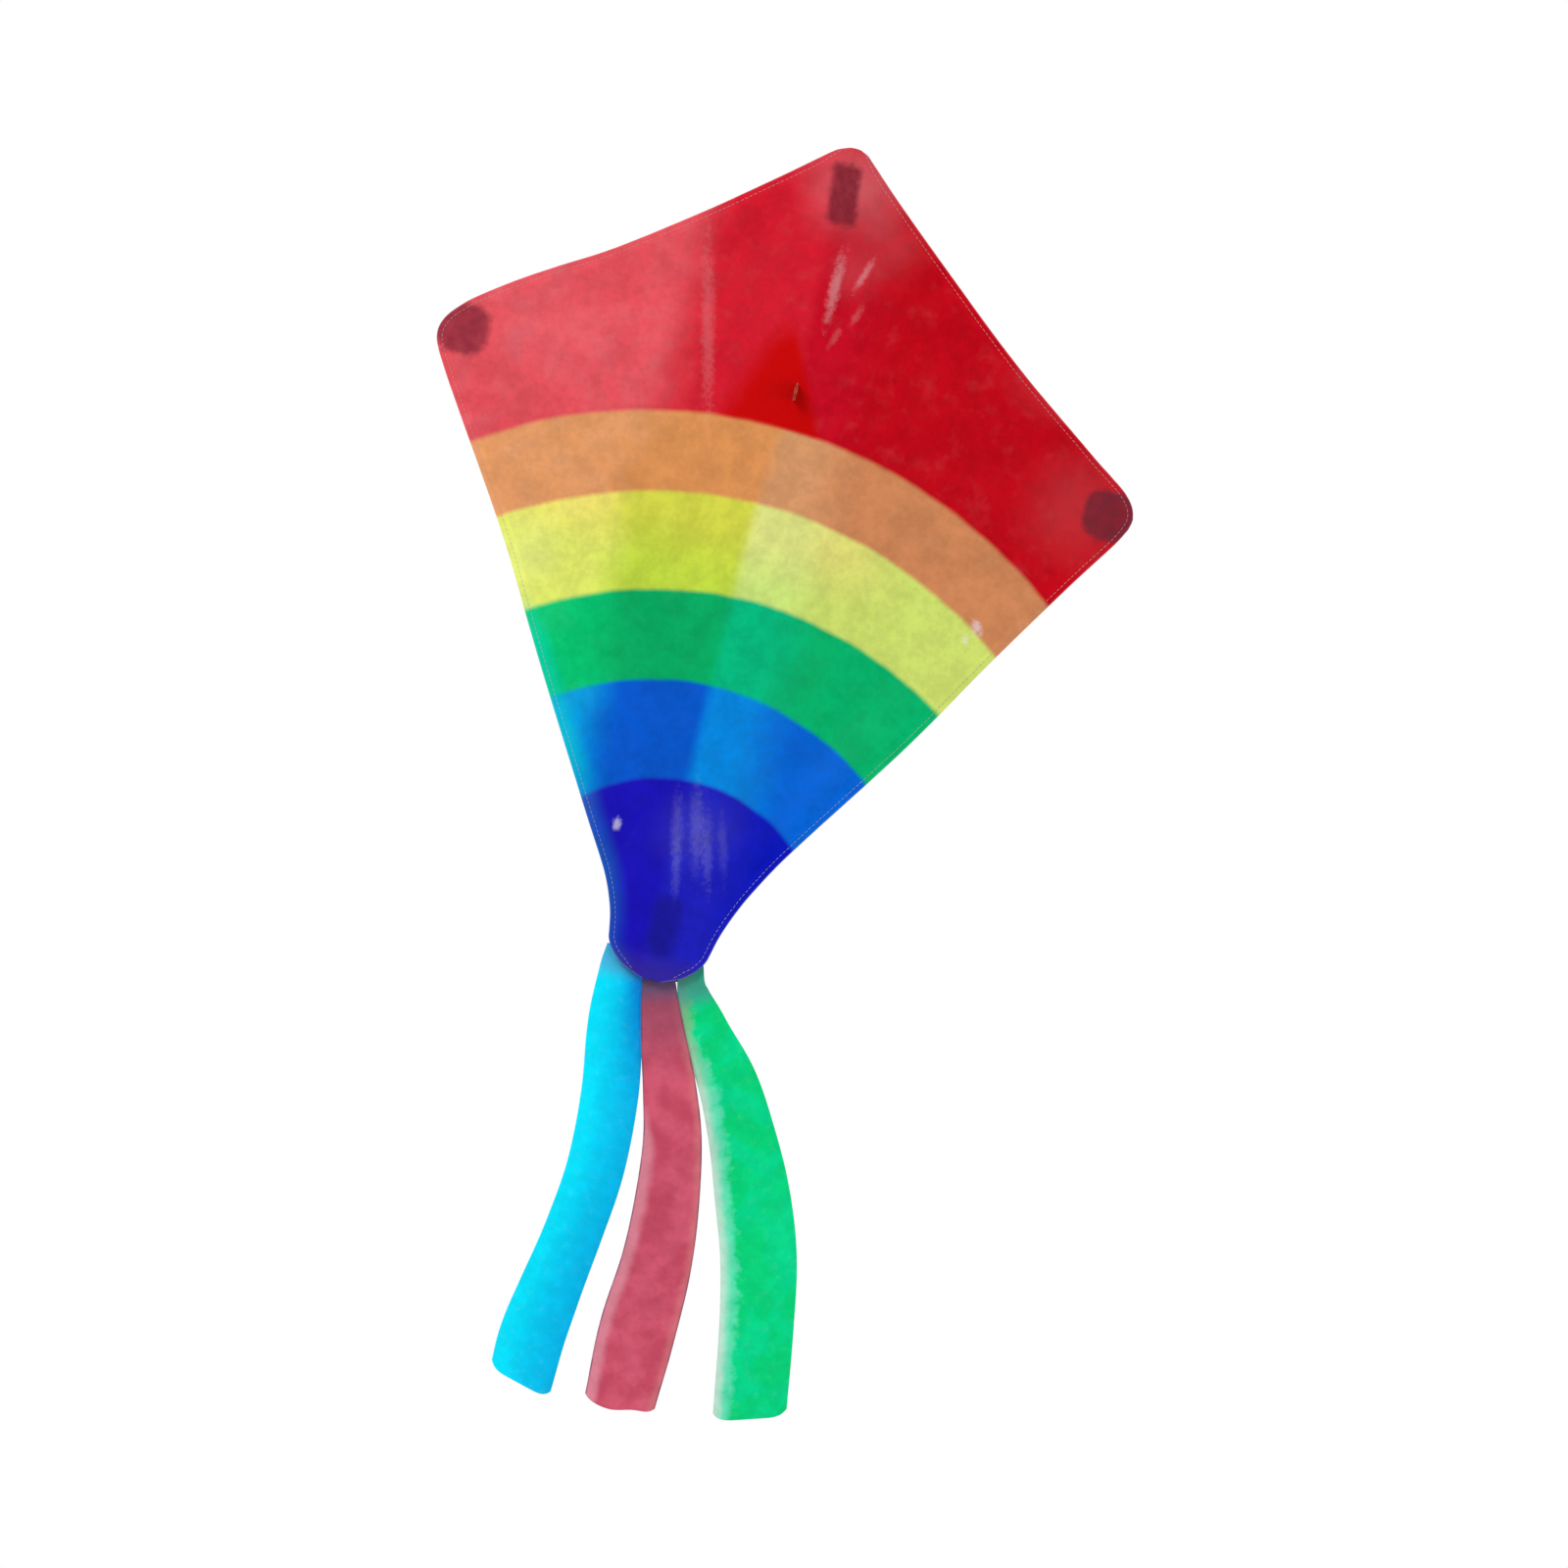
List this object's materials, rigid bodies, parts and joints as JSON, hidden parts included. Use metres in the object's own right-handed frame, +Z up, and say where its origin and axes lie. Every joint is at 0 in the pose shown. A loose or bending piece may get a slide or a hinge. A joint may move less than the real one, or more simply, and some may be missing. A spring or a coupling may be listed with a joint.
{
  "type": "diamond kite",
  "caption": "Small diamond kite with a printed cloth sail on crossed rods, folding wings, and ribbon tails that swing under its lower corner.",
  "frame": {"origin": "centre of the towing eyelet in front of the crossing, where the flying line ties", "axes": "+Z up the spine to the nose, +X to the right seen from the printed face, +Y away from the flyer"},
  "size_m": [0.6008, 0.0524, 1.0644],
  "materials": {
    "printed_sail": "printed semi-sheer polyester, soft satin sheen",
    "pocket_cloth": "black woven polyester, matte",
    "fibreglass_rod": "dark pultruded fibreglass, satin",
    "black_vinyl": "soft black vinyl, satin",
    "tow_webbing": "red woven tape, matte",
    "eyelet_brass": "pressed brass, satin",
    "cyan_ribbon": "light polyester ribbon, satin",
    "rose_ribbon": "light polyester ribbon, satin",
    "green_ribbon": "light polyester ribbon, satin"
  },
  "bodies": {
    "frame": {"spine_rod": "fibreglass_rod", "nose_cap": "black_vinyl", "tail_cap": "black_vinyl", "nose_pocket": "pocket_cloth", "tail_pocket": "pocket_cloth", "centre_hub": "black_vinyl", "spine_tie_upper": "pocket_cloth", "spine_tie_lower": "pocket_cloth", "tow_tab": "tow_webbing", "tow_eyelet": "eyelet_brass", "tail_binding": "pocket_cloth"},
    "left_wing": {"sail_left": "printed_sail", "patch_left": "pocket_cloth", "spar_left": "fibreglass_rod", "spar_sleeve_left": "black_vinyl", "tip_cap_left": "black_vinyl", "tip_pocket_left": "pocket_cloth"},
    "right_wing": {"sail_right": "printed_sail", "patch_right": "pocket_cloth", "spar_right": "fibreglass_rod", "spar_sleeve_right": "black_vinyl", "tip_cap_right": "black_vinyl", "tip_pocket_right": "pocket_cloth"},
    "cyan_ribbon": {"cyan_tail": "cyan_ribbon"},
    "rose_ribbon": {"rose_tail": "rose_ribbon"},
    "green_ribbon": {"green_tail": "green_ribbon"}
  },
  "joints": [
    {"name": "left_wing_fold", "type": "hinge", "parent": "frame", "child": "left_wing", "pos_m": [0, 0.0115, -0.024], "axis": [0, 0, 1], "range_deg": [0, 75], "stiffness_Nm_per_rad": 0.05},
    {"name": "right_wing_fold", "type": "hinge", "parent": "frame", "child": "right_wing", "pos_m": [0, 0.0115, -0.024], "axis": [0, 0, -1], "range_deg": [0, 75], "stiffness_Nm_per_rad": 0.05},
    {"name": "cyan_tail_swing", "type": "hinge", "parent": "frame", "child": "cyan_ribbon", "pos_m": [-0.024, 0.0219, -0.5015], "axis": [1, 0, 0], "range_deg": [-75, 75]},
    {"name": "rose_tail_swing", "type": "hinge", "parent": "frame", "child": "rose_ribbon", "pos_m": [0.01, 0.0219, -0.5015], "axis": [1, 0, 0], "range_deg": [-75, 75]},
    {"name": "green_tail_swing", "type": "hinge", "parent": "frame", "child": "green_ribbon", "pos_m": [0.034, 0.0219, -0.5015], "axis": [1, 0, 0], "range_deg": [-75, 75]}
  ]
}
